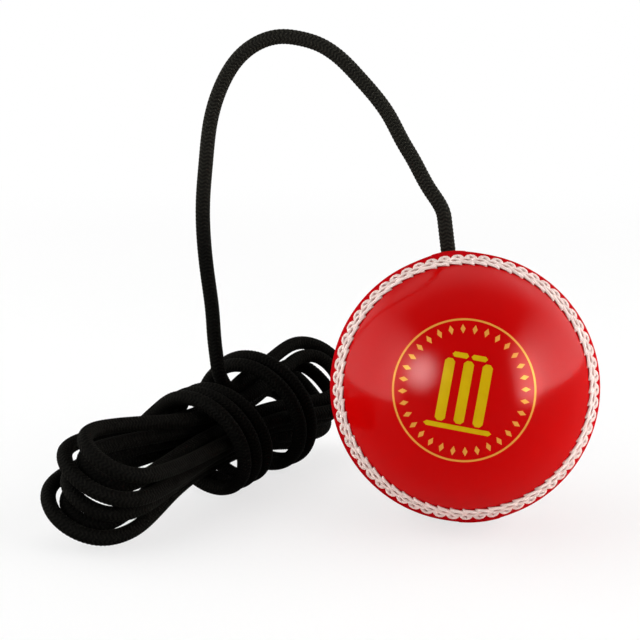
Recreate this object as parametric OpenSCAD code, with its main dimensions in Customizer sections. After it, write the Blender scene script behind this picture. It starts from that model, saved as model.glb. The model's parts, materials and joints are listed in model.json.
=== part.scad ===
// Hanging cricket ball: a stitched practice ball threaded on a braided cord.
// The ball rests at the origin and the spare cord lies beside it as a wrapped hank.
// Millimetres, +Z up, the viewer stands towards -Y.

/* [Ball] */
// Diameter over the cover
ball_d = 72; // [70:0.5:74]
// Thickness of each cover half
cover_t = 3.5; // [3:0.1:4.5]
// Open line between the two cover halves
parting_gap = 0.2; // [0.1:0.05:0.4]
// Lean of the bore away from the viewer, degrees
ball_tilt = 15; // [10:0.5:20]
// Lean of the bore to the left, degrees
ball_lean = 7.5; // [4:0.5:10]
// Turn of the ball about the vertical, degrees
ball_turn = 4.25; // [0:0.25:6]

/* [Seam threads] */
// Thickness of a row of stitches
thread_d = 1.6; // [1.2:0.1:2]
// Height of the stitches above the cover
thread_proud = 0.7; // [0.3:0.05:0.8]
// Angle from the front pole to the innermost row, degrees
thread_first = 62.5; // [58:0.5:64]
// Angle from one row to the next, degrees
thread_step = 4.9; // [4:0.1:5.2]

/* [Cord] */
// Diameter of the braided cord
cord_d = 4; // [3.8:0.1:4]
// Distance from the ball's centre to the lower bend of the cord
lower_bend = 38.8; // [38.8:0.1:39.5]
// Distance from the ball's centre to the upper bend of the cord
upper_bend = 43; // [43:0.1:44]
// Length of the straight free end
tail_len = 22; // [16:1:26]

/* [Knot] */
// Thickness of one turn of the drawn-up knot
knot_strand_d = 3.4; // [3:0.1:3.6]
// Turns in the knot
knot_turns = 3; // [2:1:3]
// Radius of the pocket that holds the knot
pocket_r = 5.8; // [5.7:0.05:6]
// Height of the pocket's ceiling below the ball's centre
pocket_top = 19; // [18:0.5:20]
// Thickness of the washer above the knot
washer_t = 1.2; // [0.8:0.1:1.4]

/* [Grommet and plug] */
// Outer radius of the grommet's sleeve
sleeve_r = 3.6; // [3.2:0.1:4]
// Radius of the grommet's rim
rim_r = 4.7; // [4.4:0.1:5.2]
// Height of the rim above the cover
rim_proud = 0.7; // [0.5:0.05:0.8]
// Height of the plug above the cover
plug_proud = 0.3; // [0.1:0.05:0.3]
// Depth of the plug
plug_t = 4; // [3.5:0.1:4.2]

/* [Hank] */
// Half length of the hank towards the viewer
near_reach = 60; // [58:0.5:62]
// Half length of the hank behind the ball
far_reach = 56; // [54:0.5:58]
// Step from loop to loop where they are drawn in at the waist
waist_step = 4.7; // [4.7:0.05:4.9]
// Step from loop to loop at the folds, along the hank
fold_step = 4.9; // [4.9:0.05:5.1]
// Spread of the layers at the near folds
near_fan = 7; // [6.5:0.1:7.5]
// Spread of the layers at the far folds
far_fan = 7.5; // [7.2:0.1:8]
// Turns of the wrapping, in two groups
wrap_turns = 4.625; // [4.6:0.025:4.65]
// Radius of the wrapping round the waist
wrap_r = 14.4; // [14.4:0.1:14.6]
// Radius of the wrapping's second group
far_wrap_r = 16.8; // [16.8:0.1:17]
// Step of the wrapping along the hank
wrap_pitch = 5.2; // [5.1:0.1:5.4]
// Direction of the hank on the floor, degrees from +X
hank_heading = 57; // [56:1:58]
// Roll of the loops about the hank, degrees
hank_roll = -46; // [-48:1:-44]

/* [Hidden] */
$fn = 64;
ball_r = ball_d / 2;
cord_r = cord_d / 2;
thread_r = thread_d / 2;
ball_centre = [0, 0, ball_r + thread_proud];
glue_gap = 0.05;     // between the core and the cover
running_gap = 0.08;  // cord in the grommet
seat_gap = 0.02;     // pieces pushed into the cover
bend_gap = 0.1;      // between two stretches of cord that bend on each other
free_gap = 0.3;      // washer under the pocket's ceiling
core_r = ball_r - cover_t - glue_gap;
core_bore_r = cord_r + 0.6;
sleeve_len = 8;
washer_r = pocket_r - 0.6;
washer_z = -(pocket_top + free_gap + washer_t);
knot_strand_r = knot_strand_d / 2;
knot_ring_r = cord_r + knot_strand_r + 0.05;
knot_pitch = 3;
knot_z = washer_z - seat_gap - knot_strand_r;
cord_low_z = knot_z - knot_pitch * (knot_turns - 1) - knot_strand_r - 0.7;
tip_len = 0.9;
plug_in_z = -(ball_r + plug_proud - plug_t);

// Direction of the bore, up through the ball
bore_y = cos(ball_lean) * sin(ball_tilt);
bore_dir = [
    bore_y * sin(ball_turn) - sin(ball_lean) * cos(ball_turn),
    bore_y * cos(ball_turn) + sin(ball_lean) * sin(ball_turn),
    cos(ball_lean) * cos(ball_tilt)
];
arch_start = ball_centre + (upper_bend + cord_r + bend_gap) * bore_dir;

// Axes of the hank: along it, across its loops and through its layers
hank_centre = [-68.5, 20.5, 17];
hank_u = [cos(hank_heading), sin(hank_heading), 0];
hank_n = [sin(hank_heading), -cos(hank_heading), 0];
hank_v = [0, 0, cos(hank_roll)] + sin(hank_roll) * hank_n;
hank_w = cos(hank_roll) * hank_n - [0, 0, sin(hank_roll)];
hank_loops = 6;
rings_per_loop = 24;
layers = 4;
layer_turns = hank_loops / layers;
waist_half = 8;        // half width of the outer loop at the waist
near_half = 30.5;      // swell of the outer loop towards its near fold
near_swell_step = 10;  // less swell for each loop further in
near_turn = -16;       // turn of the near folds about the hank
far_half = 33;         // the same swell and step at the far folds
far_swell_step = 10.5;
far_power = 2.4;       // how late the loops swell towards the far folds
far_lift = 1.5;        // rise of the hank's far half
loops_from = 13;       // where the loops begin, along the hank
loops_to = -36;        // where the last loop turns into the wrapping
wrap_from = -9;        // where the wrapping begins, along the hank
wrap_first = 10;       // its first angle round the hank
wrap_offset = -0.9;    // its centre, across the loops
far_wrap_offset = 0.6; // the same for the second group
wrap_hop = 10.5;       // step between the two groups
hop_at = 2.55;         // turn in which it is made
wrap_slant = 4;
wrap_high = 50;        // angle at which the slant leans furthest back
arch_lead = 1;         // straight start of the arch
bend_reach = 0.5;      // handle length of a joining curve, as a share of its chord
join_rings = 8;
tail_u = 35;           // place of the free end, along the hank
tail_out = 18;         // where it comes straight, behind the hank's centre line

// Route of the arch from the ball to the hank, between its two computed ends
arch_points = [
    [-9, 14, 88], [-13.5, 16, 96], [-16.5, 16.5, 101], [-20, 17.5, 107.5],
    [-24, 18, 113], [-28, 18.5, 117.5], [-33.5, 19, 123], [-39, 19.5, 126.5],
    [-44, 20, 128], [-49.5, 20, 128.5], [-55, 20.5, 127], [-60, 20.5, 123.5],
    [-63.5, 21, 119], [-66, 21, 114], [-68.5, 21.5, 106], [-70, 22, 95],
    [-71, 22, 84], [-71, 22.5, 73], [-70, 23, 61.5], [-69, 23, 52.5],
    [-68.5, 23, 44], [-68, 23, 39], [-67.5, 23.5, 35], [-66.5, 25, 31.5],
    [-65.5, 26.5, 29.5]
];

// Small helpers

function unit(v) = v / norm(v);

function ease(k) = let (c = max(0, min(1, k))) c * c * (3 - 2 * c);

function bezier(a, b, c, d, k) =
    (1 - k)^3 * a + 3 * (1 - k)^2 * k * b + 3 * (1 - k) * k^2 * c + k^3 * d;

// Curve that leaves point a along da and reaches point b along db, without its ends
function joining(a, da, b, db) =
    let (g = bend_reach * norm(b - a))
    [for (i = [1 : join_rings - 1]) bezier(a, a + g * da, b - g * db, b, i / join_rings)];

// Loops of the hank: they spiral in and out again, and climb a layer where they reverse

function spiral(t) =
    let (m = t % (2 * layer_turns)) m < layer_turns ? m : 2 * layer_turns - m;

function climbed(t) =
    let (steps = [for (j = [1 : layers - 1]) ease((t - layer_turns * j + 0.25) / 0.5)])
    steps * [for (s = steps) 1];

function loop_at(t) =
    let (
        a = 360 * t,
        s = spiral(t),
        near = sin(a) < 0,
        out = abs(sin(a)),
        reach = (near ? near_reach : far_reach) - fold_step * s * out^2,
        swell = near ? out^2 : out^far_power,
        waist = waist_half - waist_step * s,
        fold = near ? near_half - near_swell_step * s : far_half - far_swell_step * s,
        rise = waist_step + ((near ? near_fan : far_fan) - waist_step) * swell,
        along = reach * sin(a),
        across = cos(a) * (waist + (fold - waist) * swell),
        through = rise * ((layers - 1) / 2 - climbed(t)),
        turn = near_turn * ease((-along - 8) / 40)
    )
    [
        along,
        across * cos(turn) - through * sin(turn),
        across * sin(turn) + through * cos(turn)
    ];

function wrap_at(t) =
    let (
        d = wrap_first + 360 * t,
        hop = ease((t - hop_at) / 0.5),
        r = wrap_r + (far_wrap_r - wrap_r) * ease(t - hop_at)
    )
    [
        wrap_from + wrap_pitch * t + wrap_hop * hop - wrap_slant * cos(d - wrap_high),
        wrap_offset + (far_wrap_offset - wrap_offset) * hop + r * cos(d),
        r * sin(d)
    ];

function heading_of(a, b) = unit(b - a);

function hank_place(q) =
    hank_centre + q[0] * hank_u + q[1] * hank_v + q[2] * hank_w
    + [0, 0, far_lift * ease((q[0] + 4) / 24)];

// Whole hank in the part's frame: loops, then wrapping, then the lead to the free end
loop_t0 = asin(loops_from / far_reach) / 360;
loop_t1 = hank_loops + asin(loops_to / near_reach) / 360;
loop_count = round((loop_t1 - loop_t0) * rings_per_loop);
wrap_count = round(wrap_turns * rings_per_loop);
tiny = 0.001;

loop_points = [
    for (i = [0 : loop_count])
        hank_place(loop_at(loop_t0 + (loop_t1 - loop_t0) * i / loop_count))
];
wrap_points = [
    for (i = [0 : wrap_count]) hank_place(wrap_at(wrap_turns * i / wrap_count))
];
hank_start = loop_points[0];
loop_end = loop_points[loop_count];
loop_end_dir = heading_of(hank_place(loop_at(loop_t1 - tiny)), loop_end);
wrap_start = wrap_points[0];
wrap_start_dir = heading_of(wrap_start, hank_place(wrap_at(tiny)));
wrap_end = wrap_points[wrap_count];
wrap_end_dir = heading_of(hank_place(wrap_at(wrap_turns - tiny)), wrap_end);
tail_dir = -hank_n;
tail_lead = [hank_centre[0], hank_centre[1], cord_r] + tail_u * hank_u + tail_out * tail_dir;
tail_start = tail_lead + cord_d * tail_dir;

hank_points = concat(
    loop_points,
    joining(loop_end, loop_end_dir, wrap_start, wrap_start_dir),
    wrap_points,
    joining(wrap_end, wrap_end_dir, tail_lead, tail_dir),
    [tail_lead, tail_start]
);

hank_start_dir = heading_of(hank_points[0], hank_points[1]);
arch_route = concat(
    [arch_start, arch_start + arch_lead * bore_dir],
    arch_points,
    [hank_start - cord_d * hank_start_dir, hank_start]
);

// Length along a route up to each of its points
function run_lengths(p) = [
    for (i = 0, s = 0; i < len(p); s = s + norm(p[min(i + 1, len(p) - 1)] - p[i]), i = i + 1) s
];

function point_to_run(p, a, b) =
    let (d = b - a, k = max(0, min(1, ((p - a) * d) / (d * d)))) norm(p - a - k * d);

// Least distance of a route to itself, between stretches further apart than a fold
function least_gap(p, apart) =
    let (s = run_lengths(p), last = len(p) - 2)
    min([
        for (i = [0 : last], k = [0 : 2], j = [0 : last])
            let (here = s[i] + (s[i + 1] - s[i]) * k / 3)
            if (s[j] - here > apart || here - s[j + 1] > apart)
                point_to_run(p[i] + (p[i + 1] - p[i]) * k / 3, p[j], p[j + 1])
    ]) - cord_d;

// Cord of a few flat sides, swept along a route; it lies flat where it meets the floor

function tangents(p) =
    let (last = len(p) - 1)
    [for (i = [0 : last]) unit(p[min(i + 1, last)] - p[max(i - 1, 0)])];

function square_to(n, t) = unit(n - (n * t) * t);

function carried(ts, first) =
    let (last = len(ts) - 1)
    [
        for (i = 0, n = square_to(first, ts[0]); i <= last;
             n = square_to(n, ts[min(i + 1, last)]), i = i + 1) n
    ];

function on_floor(p) = [p[0], p[1], max(p[2], 0)];

module cord_tube(route, sides, first) {
    ts = tangents(route);
    ns = carried(ts, first);
    last = len(route) - 1;
    rings = [
        for (i = [0 : last], k = [0 : sides - 1])
            let (a = 360 * k / sides)
            on_floor(route[i] + cord_r * (cos(a) * ns[i] + sin(a) * cross(ts[i], ns[i])))
    ];
    walls = [
        for (i = [0 : last - 1], k = [0 : sides - 1], half = [0, 1])
            let (
                a = i * sides + k,
                b = i * sides + (k + 1) % sides,
                c = b + sides,
                d = a + sides
            )
            half == 0 ? [a, d, c] : [a, c, b]
    ];
    ends = [
        for (k = [1 : sides - 2], half = [0, 1])
            let (e = last * sides)
            half == 0 ? [0, k, k + 1] : [e, e + k + 1, e + k]
    ];
    polyhedron(points = rings, faces = concat(walls, ends), convexity = 12);
}

// Places of the ball's pieces: the bore is local +Z and the front pole is local -Y
module at_ball() {
    translate(ball_centre)
        rotate([0, 0, -ball_turn])
            rotate([-ball_tilt, 0, 0])
                rotate([0, -ball_lean, 0])
                    children();
}

// Centre of a row of stitches in the plane of a cover half's profile
function row_at(row) =
    let (a = thread_first + thread_step * row)
    (ball_r + thread_proud - thread_r) * [sin(a), cos(a)];

module half_profile() {
    difference() {
        intersection() {
            difference() {
                circle(r = ball_r);
                circle(r = ball_r - cover_t);
            }
            translate([0, parting_gap / 2])
                square(ball_d);
        }
        for (row = [0 : 2])
            translate(row_at(row))
                circle(r = thread_r + seat_gap);
    }
}

// One cover half about its pole, with the holes of the grommet and the plug
module cover_half(side) {
    at_ball()
        difference() {
            rotate([side * 90, 0, 0])
                rotate_extrude()
                    half_profile();
            cylinder(r = sleeve_r + seat_gap, h = ball_d);
            translate([0, 0, -ball_d])
                cylinder(r = pocket_r, h = ball_d);
        }
}

module thread_row(side, row) {
    color("antiquewhite")
        at_ball()
            rotate([side * 90, 0, 0])
                rotate_extrude()
                    translate(row_at(row))
                        circle(r = thread_r);
}

// Pieces of the ball

module core() {
    color("peru")
        at_ball()
            difference() {
                sphere(r = core_r);
                translate([0, 0, -ball_r])
                    cylinder(r = core_bore_r, h = ball_d);
                translate([0, 0, ball_r - sleeve_len - seat_gap])
                    cylinder(r = sleeve_r + seat_gap, h = ball_d);
                translate([0, 0, -pocket_top - ball_d])
                    cylinder(r = pocket_r, h = ball_d);
            }
}

module front_cover() { color("firebrick") cover_half(1); }
module rear_cover() { color("firebrick") cover_half(-1); }

module front_outer_thread() { thread_row(1, 2); }
module front_middle_thread() { thread_row(1, 1); }
module front_inner_thread() { thread_row(1, 0); }
module rear_outer_thread() { thread_row(-1, 2); }
module rear_middle_thread() { thread_row(-1, 1); }
module rear_inner_thread() { thread_row(-1, 0); }

// Sleeve that the cord runs in, with a rim that follows the cover
module cord_grommet() {
    color("firebrick")
        at_ball()
            difference() {
                union() {
                    translate([0, 0, ball_r - sleeve_len])
                        cylinder(r = sleeve_r, h = sleeve_len);
                    difference() {
                        intersection() {
                            cylinder(r = rim_r, h = ball_d);
                            sphere(r = ball_r + rim_proud);
                        }
                        sphere(r = ball_r + seat_gap);
                    }
                    translate([0, 0, ball_r - 1])
                        cylinder(r = cord_r + 1, h = 1 + rim_proud / 2);
                }
                cylinder(r = cord_r + running_gap, h = ball_d);
            }
}

// Domed plug that closes the knot's pocket
module knot_plug() {
    color("firebrick")
        at_ball()
            intersection() {
                sphere(r = ball_r + plug_proud);
                translate([0, 0, plug_in_z - ball_d])
                    cylinder(r = pocket_r - seat_gap, h = ball_d);
            }
}

module knot_washer() {
    color("gainsboro")
        at_ball()
            translate([0, 0, washer_z])
                difference() {
                    cylinder(r = washer_r, h = washer_t);
                    translate([0, 0, -washer_t])
                        cylinder(r = cord_r + seat_gap, h = 3 * washer_t);
                }
}

// Barrel knot: the turns of the cord's own end drawn tight round it
module stopper_knot() {
    color("dimgray")
        at_ball()
            rotate_extrude()
                for (i = [0 : knot_turns - 1])
                    translate([knot_ring_r, knot_z - knot_pitch * i])
                        circle(r = knot_strand_r);
}

module cord_in_ball() {
    color("dimgray")
        at_ball()
            union() {
                translate([0, 0, cord_low_z])
                    cylinder(r = cord_r, h = lower_bend - cord_low_z);
                translate([0, 0, lower_bend])
                    sphere(r = cord_r);
            }
}

// Melted end below the knot
module cord_lower_tip() {
    color("black")
        at_ball()
            translate([0, 0, cord_low_z - tip_len])
                cylinder(r1 = cord_r - 0.5, r2 = cord_r, h = tip_len);
}

// Free cord

module cord_neck() {
    color("dimgray")
        at_ball()
            union() {
                translate([0, 0, lower_bend + cord_r + bend_gap])
                    cylinder(r = cord_r, h = upper_bend - lower_bend - cord_r - bend_gap);
                translate([0, 0, upper_bend])
                    sphere(r = cord_r);
            }
}

module cord_arch() { color("dimgray") cord_tube(arch_route, 10, [0, 1, 0]); }

module cord_hank() { color("dimgray") cord_tube(hank_points, 6, hank_w); }

module at_tail(along) {
    translate(tail_start + along * tail_dir)
        rotate([0, 90, hank_heading + 90])
            children();
}

module cord_tail() { color("dimgray") at_tail(0) cylinder(r = cord_r, h = tail_len); }

// Melted end of the cord
module cord_tail_tip() {
    color("black")
        at_tail(tail_len)
            cylinder(r1 = cord_r, r2 = cord_r - 0.7, h = 2);
}

core();
front_cover();
rear_cover();
front_outer_thread();
front_middle_thread();
front_inner_thread();
rear_outer_thread();
rear_middle_thread();
rear_inner_thread();
cord_grommet();
knot_plug();
knot_washer();
stopper_knot();
cord_in_ball();
cord_lower_tip();
cord_neck();
cord_arch();
cord_hank();
cord_tail();
cord_tail_tip();

union() {
    echo(hank_least_gap = least_gap(hank_points, 14));
    echo(hank_length = run_lengths(hank_points)[len(hank_points) - 1]);
    echo(arch_length = run_lengths(arch_route)[len(arch_route) - 1]);
    echo(bore_dir = bore_dir, arch_start = arch_start, hank_start = hank_start);
    echo(tail_start = tail_start, tail_dir = tail_dir);
}
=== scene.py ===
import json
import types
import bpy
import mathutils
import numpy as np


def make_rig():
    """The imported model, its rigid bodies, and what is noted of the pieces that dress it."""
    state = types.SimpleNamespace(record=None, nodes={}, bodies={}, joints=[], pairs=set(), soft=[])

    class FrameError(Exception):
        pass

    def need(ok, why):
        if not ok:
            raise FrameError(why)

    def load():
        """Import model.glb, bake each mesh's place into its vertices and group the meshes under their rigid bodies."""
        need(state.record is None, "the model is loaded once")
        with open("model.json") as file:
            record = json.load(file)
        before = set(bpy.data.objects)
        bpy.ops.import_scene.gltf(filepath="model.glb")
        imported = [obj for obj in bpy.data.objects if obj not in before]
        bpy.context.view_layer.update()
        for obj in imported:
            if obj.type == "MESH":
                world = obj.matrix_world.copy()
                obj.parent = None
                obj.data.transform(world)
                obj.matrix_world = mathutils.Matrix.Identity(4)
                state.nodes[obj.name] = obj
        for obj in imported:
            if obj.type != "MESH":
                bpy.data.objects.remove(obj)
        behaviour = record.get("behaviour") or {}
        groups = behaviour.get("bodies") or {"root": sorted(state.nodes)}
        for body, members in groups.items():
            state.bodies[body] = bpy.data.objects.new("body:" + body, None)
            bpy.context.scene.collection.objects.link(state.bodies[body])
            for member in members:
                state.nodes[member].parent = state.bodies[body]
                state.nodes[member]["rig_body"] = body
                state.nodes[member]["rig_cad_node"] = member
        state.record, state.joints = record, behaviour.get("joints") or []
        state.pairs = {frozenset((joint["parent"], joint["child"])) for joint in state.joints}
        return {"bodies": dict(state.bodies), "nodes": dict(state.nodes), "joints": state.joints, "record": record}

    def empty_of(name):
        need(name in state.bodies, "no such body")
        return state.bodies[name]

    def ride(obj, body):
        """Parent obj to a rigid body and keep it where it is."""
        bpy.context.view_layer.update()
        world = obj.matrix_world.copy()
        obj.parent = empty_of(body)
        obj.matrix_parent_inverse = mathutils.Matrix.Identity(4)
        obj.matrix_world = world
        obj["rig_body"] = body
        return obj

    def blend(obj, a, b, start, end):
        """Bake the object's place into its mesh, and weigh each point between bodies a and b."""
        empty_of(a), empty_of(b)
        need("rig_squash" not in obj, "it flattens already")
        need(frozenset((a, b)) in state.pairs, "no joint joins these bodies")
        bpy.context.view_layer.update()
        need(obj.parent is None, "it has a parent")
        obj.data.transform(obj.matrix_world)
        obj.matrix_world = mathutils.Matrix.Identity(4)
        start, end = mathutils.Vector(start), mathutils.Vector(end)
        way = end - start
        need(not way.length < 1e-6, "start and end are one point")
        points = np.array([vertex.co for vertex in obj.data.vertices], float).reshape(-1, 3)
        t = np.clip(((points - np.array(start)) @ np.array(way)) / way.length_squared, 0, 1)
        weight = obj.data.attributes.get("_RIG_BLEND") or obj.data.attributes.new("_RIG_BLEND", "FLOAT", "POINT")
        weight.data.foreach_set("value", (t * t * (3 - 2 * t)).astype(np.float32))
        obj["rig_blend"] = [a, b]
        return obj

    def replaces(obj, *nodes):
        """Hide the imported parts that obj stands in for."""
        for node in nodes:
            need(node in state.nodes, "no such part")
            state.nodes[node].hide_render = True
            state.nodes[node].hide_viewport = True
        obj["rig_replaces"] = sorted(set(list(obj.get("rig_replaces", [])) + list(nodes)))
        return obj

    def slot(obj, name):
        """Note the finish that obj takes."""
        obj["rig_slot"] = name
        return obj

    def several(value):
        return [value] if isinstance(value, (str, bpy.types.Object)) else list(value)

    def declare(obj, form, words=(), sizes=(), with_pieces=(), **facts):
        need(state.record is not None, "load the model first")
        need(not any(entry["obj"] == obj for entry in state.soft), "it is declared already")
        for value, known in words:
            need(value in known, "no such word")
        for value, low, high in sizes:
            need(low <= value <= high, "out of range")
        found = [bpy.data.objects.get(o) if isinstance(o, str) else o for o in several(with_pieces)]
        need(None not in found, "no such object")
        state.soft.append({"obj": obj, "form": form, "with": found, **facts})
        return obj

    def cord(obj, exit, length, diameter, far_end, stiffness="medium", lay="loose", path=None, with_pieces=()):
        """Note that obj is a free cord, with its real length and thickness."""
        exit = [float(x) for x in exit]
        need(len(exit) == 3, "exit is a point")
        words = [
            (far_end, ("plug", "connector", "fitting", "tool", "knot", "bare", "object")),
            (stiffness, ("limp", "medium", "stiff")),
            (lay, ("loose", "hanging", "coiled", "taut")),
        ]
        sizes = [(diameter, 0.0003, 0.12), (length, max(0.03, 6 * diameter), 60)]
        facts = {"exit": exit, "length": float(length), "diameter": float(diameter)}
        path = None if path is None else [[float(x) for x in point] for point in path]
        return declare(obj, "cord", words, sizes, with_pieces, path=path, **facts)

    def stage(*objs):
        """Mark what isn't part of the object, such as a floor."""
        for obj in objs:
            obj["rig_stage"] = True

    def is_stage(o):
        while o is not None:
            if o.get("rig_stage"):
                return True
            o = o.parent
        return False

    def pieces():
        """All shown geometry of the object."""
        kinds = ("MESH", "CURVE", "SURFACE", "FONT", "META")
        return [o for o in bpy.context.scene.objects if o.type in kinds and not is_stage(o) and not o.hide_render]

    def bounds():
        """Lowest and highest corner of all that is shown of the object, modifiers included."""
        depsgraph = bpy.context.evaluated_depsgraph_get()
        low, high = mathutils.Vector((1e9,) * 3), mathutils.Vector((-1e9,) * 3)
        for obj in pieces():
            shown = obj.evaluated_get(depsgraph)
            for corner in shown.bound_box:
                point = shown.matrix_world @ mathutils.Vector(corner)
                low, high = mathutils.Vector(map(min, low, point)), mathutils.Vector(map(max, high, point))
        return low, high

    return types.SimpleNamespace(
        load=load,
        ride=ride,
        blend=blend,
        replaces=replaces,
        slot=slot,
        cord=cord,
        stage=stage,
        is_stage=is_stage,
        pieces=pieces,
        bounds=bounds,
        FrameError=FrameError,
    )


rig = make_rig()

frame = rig.load()

import json
import math

import bpy
import numpy as np
from mathutils import Matrix, Vector

cadBox = [list(corner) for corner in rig.bounds()]
mm = 0.001
print("frame loaded,", len(frame["nodes"]), "CAD nodes")

scene = bpy.context.scene
scene.view_settings.view_transform = "Standard"


def enterMode(mode):
    bpy.ops.object.mode_set(mode=mode)


def deselect():
    if bpy.context.object and bpy.context.object.mode != "OBJECT":
        enterMode("OBJECT")
    bpy.ops.object.select_all(action="DESELECT")


def pick(*pieces):
    deselect()
    for piece in pieces:
        piece.select_set(True)
    bpy.context.view_layer.objects.active = pieces[0]


def named(name):
    piece = bpy.context.object
    piece.name = piece.data.name = name
    return piece


def readPoints(mesh):
    flat = np.empty(len(mesh.vertices) * 3)
    mesh.vertices.foreach_get("co", flat)
    return flat.reshape(-1, 3)


def writePoints(mesh, points):
    mesh.vertices.foreach_set("co", np.asarray(points).ravel())
    mesh.update()


def applyModifier(piece, kind, **settings):
    pick(piece)
    modifier = piece.modifiers.new(kind.lower(), kind)
    for key, value in settings.items():
        setattr(modifier, key, value)
    bpy.ops.object.modifier_apply(modifier=modifier.name)


def unit(vector):
    vector = np.asarray(vector, float)
    return vector / np.linalg.norm(vector)


def hexLinear(code):
    parts = [int(code[i:i + 2], 16) / 255 for i in (1, 3, 5)]
    return [p / 12.92 if p <= 0.04045 else ((p + 0.055) / 1.055) ** 2.4 for p in parts] + [1.0]


# A node given as a source stands for its first output
def linkInto(tree, node, links):
    for key, source in links.items():
        socket = source.outputs[0] if isinstance(source, bpy.types.Node) else source
        tree.links.new(socket, node.inputs[key])


# One node; a key is a property, a socket name or a socket number, and a colour is a hex code
def addNode(tree, kind, settings=None, links=None):
    node = tree.nodes.new("ShaderNode" + kind)
    for key, value in (settings or {}).items():
        if isinstance(key, str) and hasattr(node, key):
            setattr(node, key, value)
        else:
            node.inputs[key].default_value = hexLinear(value) if isinstance(value, str) else value
    linkInto(tree, node, links or {})
    return node


def startMaterial(name, **sockets):
    material = bpy.data.materials.new(name)
    material.use_nodes = True
    shader = material.node_tree.nodes["Principled BSDF"]
    for key, value in sockets.items():
        shader.inputs[key.replace("_", " ")].default_value = value
    return material, material.node_tree, shader


# Camera at the photograph's angle

cameraSet = {
    "place": (-38.7, -394.119, 142.7),
    "down": 12.542,  # degrees below level
    "lens": 85.35,
    "sensor": 36.0,
}

deselect()
bpy.ops.object.camera_add(
    location=[c * mm for c in cameraSet["place"]],
    rotation=(math.radians(90 - cameraSet["down"]), 0, 0),
)
camera = named("photoCamera")
camera.data.lens = cameraSet["lens"]
camera.data.sensor_width = cameraSet["sensor"]
camera.data.clip_start = 0.01
scene.camera = camera
print("camera placed")


# Ball's own axes: bore along local +Z, front pole along local -Y

ballSet = {"radius": 36.0, "proud": 0.7, "tilt": 15.0, "lean": 7.5, "turn": 4.25}

ballCentre = np.array([0, 0, ballSet["radius"] + ballSet["proud"]])
ballPose = (
    Matrix.Translation([c * mm for c in ballCentre])
    @ Matrix.Rotation(math.radians(-ballSet["turn"]), 4, "Z")
    @ Matrix.Rotation(math.radians(-ballSet["tilt"]), 4, "X")
    @ Matrix.Rotation(math.radians(-ballSet["lean"]), 4, "Y")
)
boreDir = np.array((ballPose.to_3x3() @ Vector((0, 0, 1)))[:])
poleDir = np.array((ballPose.to_3x3() @ Vector((0, -1, 0)))[:])


# Cord: one braided length from the knot to the free end, in millimetres

cordSet = {
    "diameter": 4.0,
    "sides": 24,
    "ringStep": 0.52,    # half a ridge of the braid
    "ridge": 0.07,       # height of a ridge above the mean surface
    "columnSpokes": 4,   # sides in one column of the braid
    "slant": 0.6,        # ridges that a strand climbs across half a column
    "lowEnd": -30.62,    # along the bore, from the ball's centre
    "ballTop": 36.9,
    "neckMiddle": 40.9,
    "archStart": 45.1,
    "lowerBend": 38.8,
    "upperBend": 43.0,
    "bendHalf": 1.9,
    "tail": 22.0,
    "archLead": 1.0,
    "archPoints": [
        (-9, 14, 88), (-13.5, 16, 96), (-16.5, 16.5, 101), (-20, 17.5, 107.5),
        (-24, 18, 113), (-28, 18.5, 117.5), (-33.5, 19, 123), (-39, 19.5, 126.5),
        (-44, 20, 128), (-49.5, 20, 128.5), (-55, 20.5, 127), (-60, 20.5, 123.5),
        (-63.5, 21, 119), (-66, 21, 114), (-68.5, 21.5, 106), (-70, 22, 95),
        (-71, 22, 84), (-71, 22.5, 73), (-70, 23, 61.5), (-69, 23, 52.5),
        (-68.5, 23, 44), (-68, 23, 39), (-67.5, 23.5, 35), (-66.5, 25, 31.5),
        (-65.5, 26.5, 29.5),
    ],
}

hankSet = {
    "centre": (-68.5, 20.5, 17), "heading": 57.0, "roll": -46.0,
    "farLift": 1.5, "liftFrom": -4.0, "liftRun": 24.0,
    "loops": 6, "layers": 4, "rings": 24, "loopsFrom": 13.0, "loopsTo": -36.0, "climbTurns": 0.5,
    "waistHalf": 8.0, "waistStep": 4.7, "foldStep": 4.9,
    "nearTurn": -16.0, "turnFrom": 8.0, "turnRun": 40.0,
    # reach, swell, less swell for each loop further in, power of the swell, spread of the layers
    "near": (60.0, 30.5, 10.0, 2.0, 7.0),
    "far": (56.0, 33.0, 10.5, 2.4, 7.5),
    "wrapTurns": 4.625, "wrapPitch": 5.2, "wrapFrom": -9.0, "wrapFirst": 10.0,
    "wrapRadius": (14.4, 16.8), "wrapOffset": (-0.9, 0.6),  # at the waist and in the second group
    "wrapHop": 10.5, "hopAt": 2.55, "hopTurns": 0.5, "wrapSlant": 4.0, "wrapHigh": 50.0,
    "joinReach": 0.5, "joinRings": 8, "tailAlong": 35.0, "tailOut": 18.0,
}

headingAngle, rollAngle = math.radians(hankSet["heading"]), math.radians(hankSet["roll"])
hankAlong = np.array([math.cos(headingAngle), math.sin(headingAngle), 0])
hankSide = np.array([math.sin(headingAngle), -math.cos(headingAngle), 0])
upward = np.array([0, 0, 1.0])
hankAcross = math.cos(rollAngle) * upward + math.sin(rollAngle) * hankSide
hankThrough = math.cos(rollAngle) * hankSide - math.sin(rollAngle) * upward


def ease(k):
    c = np.clip(k, 0, 1)
    return c * c * (3 - 2 * c)


def hankPlace(q):
    h = hankSet
    lift = h["farLift"] * ease((q[0] - h["liftFrom"]) / h["liftRun"]) * upward
    return np.array(h["centre"]) + q[0] * hankAlong + q[1] * hankAcross + q[2] * hankThrough + lift


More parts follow.
